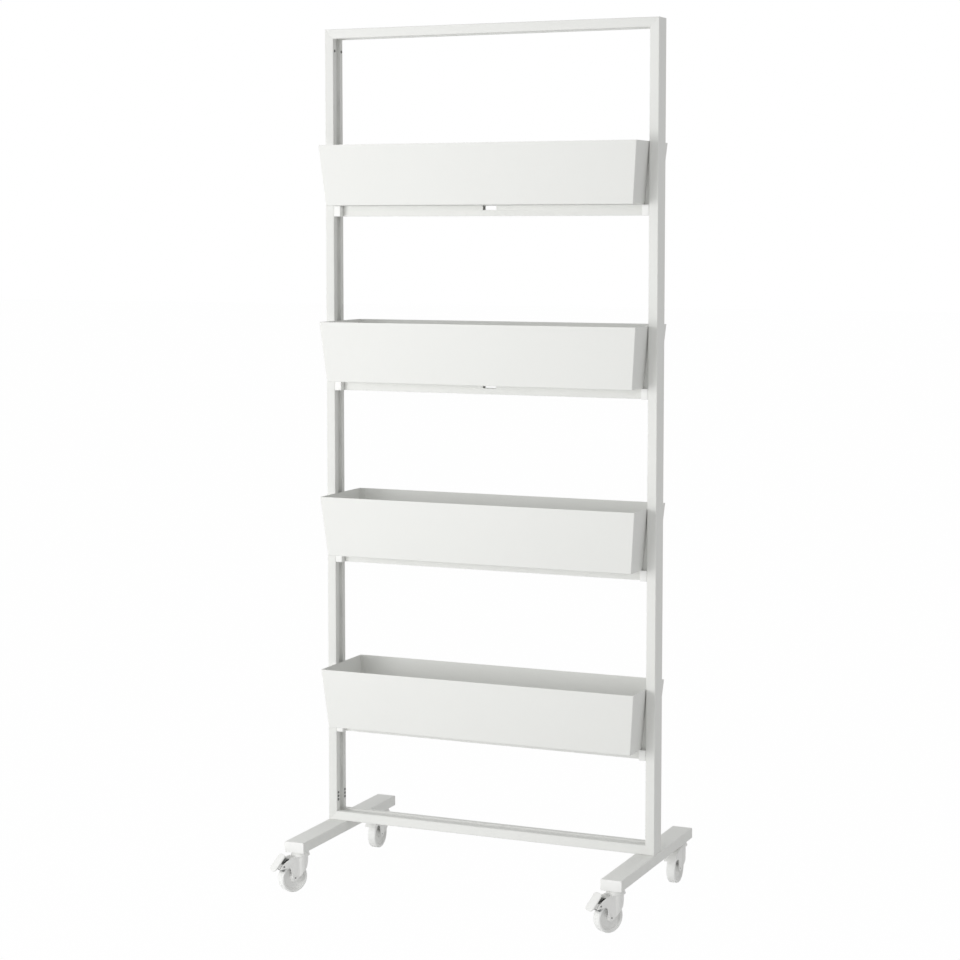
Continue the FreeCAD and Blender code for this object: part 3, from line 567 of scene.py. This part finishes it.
class SHELF_OT_casters(Operator):
    """Caster housings, axles, turned wheels and tyres, and the brake pedals"""

    bl_idname = "shelf.casters"
    bl_label = "Casters"

    # Corners of a section on one side, from the bore outwards: offset along the axle, radius and rounding
    wheel_corners = ((0.01195, 0.00406, 0.0), (0.01195, 0.0089, 0.0005), (0.0040, 0.0094, 0.0024),
                     (0.0040, 0.0263, 0.0026), (0.0100, 0.0283, 0.0009), (0.0100, 0.0305, 0.0))
    tyre_corners = ((0.0110, 0.0305, 0.0004), (0.0110, 0.0350, 0.0035))

    def execute(self, context):
        edges, caster = context.scene.shelf_edges, context.scene.shelf_caster
        for name in CASTERS:
            soften(f"{name}_fork", edges.fork, edges.steps)
            soften(f"{name}_axle", edges.frame, edges.steps)
            roll = joint_line(f"{name}_roll")
            for part, corners in (("wheel", self.wheel_corners), ("tyre", self.tyre_corners)):
                node = f"{name}_{part}"
                bm = bmesh.new()
                self.turn(bm, mirrored(corners), roll, caster.steps)
                add_piece(f"{node}_turned", bm, node_slot(node), node_body(node), (node,))
            self.add_rings(name, roll, caster)
            if name in BRAKED:
                soften(f"{name}_pedal", edges.pedal, edges.steps)
                soften(f"{name}_pedal_pin", edges.frame, edges.steps)
        return {"FINISHED"}

    def turn(self, bm, corners, roll, steps):
        """Adds a ring-shaped body turned about a roll axis from a section with rounded corners."""
        hub, axle = roll
        section = bmesh.new()
        verts = [section.verts.new(hub + axle * offset + UP * radius) for offset, radius, _ in corners]
        for pair in zip(verts, verts[1:] + verts[:1]):
            section.edges.new(pair)
        for vert, (_, _, rounding) in zip(verts, corners):
            if rounding:
                bmesh.ops.bevel(section, geom=[vert], offset=rounding, offset_type="OFFSET",
                                affect="VERTICES", segments=CORNER_FACETS, profile=0.5, material=-1)
        bmesh.ops.spin(section, geom=section.verts[:] + section.edges[:], cent=hub, axis=axle,
                       angle=math.tau, steps=steps, use_merge=True)
        bmesh.ops.recalc_face_normals(section, faces=section.faces)
        join(bm, section)

    def add_rings(self, name, roll, caster):
        """Moulded rings that hold the two ends of an axle."""
        node = f"{name}_axle"
        hub, axle = roll
        end = max((vert.co - hub).dot(axle) for vert in frame["nodes"][node].data.vertices)
        low, high = end - caster.ring_height, end + caster.ring_height
        rounding = caster.ring_height / 2
        bm = bmesh.new()
        for way in (1.0, -1.0):
            corners = ((way * low, caster.ring_inner, 0.0), (way * high, caster.ring_inner, rounding),
                       (way * high, caster.ring_outer, rounding), (way * low, caster.ring_outer, 0.0))
            self.turn(bm, corners, roll, caster.steps // 2)
        add_piece(f"{node}_rings", bm, "white_plastic", node_body(node))


class SHELF_OT_brakes_and_painted_shade(Operator):
    """Catch springs on their posts, and the steel plates under the shoes of the pedals, whose dark steel also
    paints shade in the brakes' hollows
    """

    bl_idname = "shelf.brakes"
    bl_label = "Brakes"

    wire_facets = 10

    def execute(self, context):
        brake = context.scene.shelf_brake
        for name in BRAKED:
            pin, across = joint_line(f"{name}_brake_press")
            ahead = across.cross(UP)
            self.add_spring_and_painted_shade(name, pin - ahead * brake.back + UP * brake.rise, across, ahead, brake)
            self.add_plate_and_painted_shade(name, pin, ahead, brake)
        return {"FINISHED"}

    def add_spring_and_painted_shade(self, name, middle, across, ahead, brake):
        """A coil about a post, with a leg towards the pedal and one back to the housing; its dark steel is
        partly a real spring and partly painted shade in the hollow between pedal and housing.
        """
        bm = bmesh.new()
        along = across.to_track_quat("Z", "Y").to_matrix().to_4x4()
        bmesh.ops.create_cone(bm, cap_ends=True, segments=ROUND_FACETS, radius1=brake.post,
                              radius2=brake.post, depth=brake.post_length,
                              matrix=Matrix.Translation(middle) @ along)
        coil = bmesh.new()
        width = brake.pitch * brake.turns
        tip = middle - across * width / 2 + UP * brake.coil + ahead * brake.pedal_leg
        facing = ahead.to_track_quat("Z", "Y").to_matrix().to_4x4()
        ring = bmesh.ops.create_circle(coil, segments=self.wire_facets, radius=brake.wire,
                                       matrix=Matrix.Translation(tip) @ facing)
        start = {edge for vert in ring["verts"] for edge in vert.link_edges}
        edges = self.lengthen(coil, start, -ahead * brake.pedal_leg)
        steps = brake.turns * ROUND_FACETS
        verts = list({vert for edge in edges for vert in edge.verts})
        wound = bmesh.ops.spin(coil, geom=verts + edges, cent=middle, axis=across,
                               angle=-math.tau * brake.turns, steps=steps, dvec=across * width / steps)
        last = [item for item in wound["geom_last"] if isinstance(item, bmesh.types.BMEdge)]
        self.lengthen(coil, last, -ahead * brake.housing_leg)
        bmesh.ops.holes_fill(coil, edges=[edge for edge in coil.edges if edge.is_boundary], sides=0)
        bmesh.ops.recalc_face_normals(coil, faces=coil.faces)
        join(bm, coil)
        # Dark steel coil: a real spring, and also painted shade in the hollow between pedal and housing
        add_piece(f"{name}_catch_spring_and_painted_shade", bm, "zinc_steel", f"{name}_caster")

    def lengthen(self, bm, edges, way):
        """Draws the open end of a wire straight on; gives the new end's edges."""
        made = bmesh.ops.extrude_edge_only(bm, edges=list(edges))["geom"]
        verts = [item for item in made if isinstance(item, bmesh.types.BMVert)]
        bmesh.ops.translate(bm, verts=verts, vec=way)
        return [item for item in made if isinstance(item, bmesh.types.BMEdge)]

    def add_plate_and_painted_shade(self, name, pin, ahead, brake):
        """A dark steel plate that wraps the lower end of a pedal's shoe, cut from the shoe's own form; it is
        partly a brake plate and partly painted shade of the gap between shoe and tyre.
        """
        bm = solid_copy(f"{name}_pedal")
        for spot, facing in ((pin - UP * brake.plate_drop, UP), (pin + ahead * brake.plate_ahead, ahead)):
            bmesh.ops.bisect_plane(bm, geom=bm.verts[:] + bm.edges[:] + bm.faces[:], plane_co=spot,
                                   plane_no=facing, clear_outer=True)
            bmesh.ops.holes_fill(bm, edges=[edge for edge in bm.edges if edge.is_boundary], sides=0)
        bmesh.ops.recalc_face_normals(bm, faces=bm.faces)
        bm.normal_update()
        for vert in bm.verts:
            vert.co += vert.normal * brake.plate_proud
        # Dark steel skin on the shoe's lower end: partly a brake plate, partly painted shade in the gap
        # between shoe and tyre
        add_piece(f"{name}_brake_plate_and_painted_shade", bm, "zinc_steel", f"{name}_brake")


class SHELF_OT_stage(Operator):
    """White floor, room, lamp and camera"""

    bl_idname = "shelf.stage"
    bl_label = "Stage"

    # Where the lamp hangs, where it points, and its width and height
    lamp_place = Vector((-2.4, -4.6, 1.2))
    lamp_target = Vector((0.0, 0.0, 0.85))
    lamp_size = (3.0, 1.9)
    sensor = 36.0
    far_end = 100.0
    # Half the floor's width, its colour, and how much of its white is glow where it is seen
    floor_reach = 40.0
    floor_colour = (0.9, 0.9, 0.9, 1.0)
    floor_glow = 0.985

    def execute(self, context):
        stage = context.scene.shelf_stage
        self.add_floor()
        self.light_room(context.scene, stage)
        self.add_lamp(stage.key)
        self.add_camera(context.scene, stage)
        context.scene.view_settings.view_transform = "Standard"
        return {"FINISHED"}

    def add_camera(self, scene, stage):
        camera = bpy.data.objects.new("camera", bpy.data.cameras.new("camera"))
        camera.data.sensor_width = self.sensor
        camera.data.lens = stage.lens
        camera.data.shift_y = stage.shift
        camera.data.clip_end = self.far_end
        camera.location = stage.place
        camera.rotation_euler = (math.pi / 2 + stage.pitch, 0.0, stage.turn)
        scene.collection.objects.link(camera)
        scene.camera = camera

    def add_floor(self):
        """A floor that looks white and keeps a soft shadow of the object."""
        bm = bmesh.new()
        bmesh.ops.create_grid(bm, x_segments=1, y_segments=1, size=self.floor_reach)
        mesh = bpy.data.meshes.new("floor")
        bm.to_mesh(mesh)
        bm.free()
        material = bpy.data.materials.new("floor_white")
        material.use_nodes = True
        tree = material.node_tree
        tree.nodes.clear()
        start = Wire(tree)
        matte = start.make("ShaderNodeBsdfDiffuse", None, {"Color": self.floor_colour})
        glow = start.make("ShaderNodeEmission", None, {"Color": WHITE, "Strength": 1.0})
        both = start.make("ShaderNodeMixShader", None, {0: seen(start) * self.floor_glow, 1: matte, 2: glow})
        start.make("ShaderNodeOutputMaterial", None, {"Surface": both})
        mesh.materials.append(material)
        floor = bpy.data.objects.new("floor", mesh)
        bpy.context.scene.collection.objects.link(floor)

    def light_room(self, scene, stage):
        """A soft white room that the camera sees at full white."""
        world = bpy.data.worlds.new("room")
        world.use_nodes = True
        tree = world.node_tree
        tree.nodes.clear()
        start = Wire(tree)
        shown = seen(start)
        heading = start.make("ShaderNodeTexCoord", output="Generated")
        height = heading.make("ShaderNodeSeparateXYZ", None, {0: heading}, output="Z")
        above = start.sum("MAXIMUM", height, 0.0)
        level = above * (stage.above * stage.ambient) + stage.ambient
        glow = start.make("ShaderNodeBackground", None,
                          {"Color": WHITE, "Strength": level + shown * (1.0 - level)})
        start.make("ShaderNodeOutputWorld", None, {"Surface": glow})
        scene.world = world

    def add_lamp(self, power):
        lamp = bpy.data.lights.new("key_lamp", "AREA")
        lamp.shape = "RECTANGLE"
        lamp.size, lamp.size_y = self.lamp_size
        lamp.energy = power
        holder = bpy.data.objects.new("key_lamp", lamp)
        holder.location = self.lamp_place
        holder.rotation_euler = (self.lamp_target - self.lamp_place).to_track_quat("-Z", "Y").to_euler()
        bpy.context.scene.collection.objects.link(holder)


STEPS = (SHELF_OT_frame, SHELF_OT_screws, SHELF_OT_trays, SHELF_OT_rails, SHELF_OT_casters,
         SHELF_OT_brakes_and_painted_shade, SHELF_OT_stage)


class SHELF_PT_sidebar(Panel):
    """Sizes and steps of the shelving unit"""

    bl_idname = "SHELF_PT_sidebar"
    bl_label = "Shelving unit"
    bl_space_type = "VIEW_3D"
    bl_region_type = "UI"
    bl_category = "Shelving"

    def draw(self, context):
        for step in STEPS:
            self.layout.operator(step.bl_idname)
        for name, group in GROUPS.items():
            box = self.layout.box()
            for key in group.__annotations__:
                box.prop(getattr(context.scene, name), key)


CLASSES = (*GROUPS.values(), *STEPS, SHELF_PT_sidebar)


def register():
    for item in CLASSES:
        bpy.utils.register_class(item)
    for name, group in GROUPS.items():
        setattr(bpy.types.Scene, name, PointerProperty(type=group))


def unregister():
    for name in GROUPS:
        delattr(bpy.types.Scene, name)
    for item in reversed(CLASSES):
        bpy.utils.unregister_class(item)


def main():
    register()
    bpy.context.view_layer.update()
    for step in STEPS:
        group, action = step.bl_idname.split(".")
        getattr(getattr(bpy.ops, group), action)()


if __name__ == "__main__":
    main()
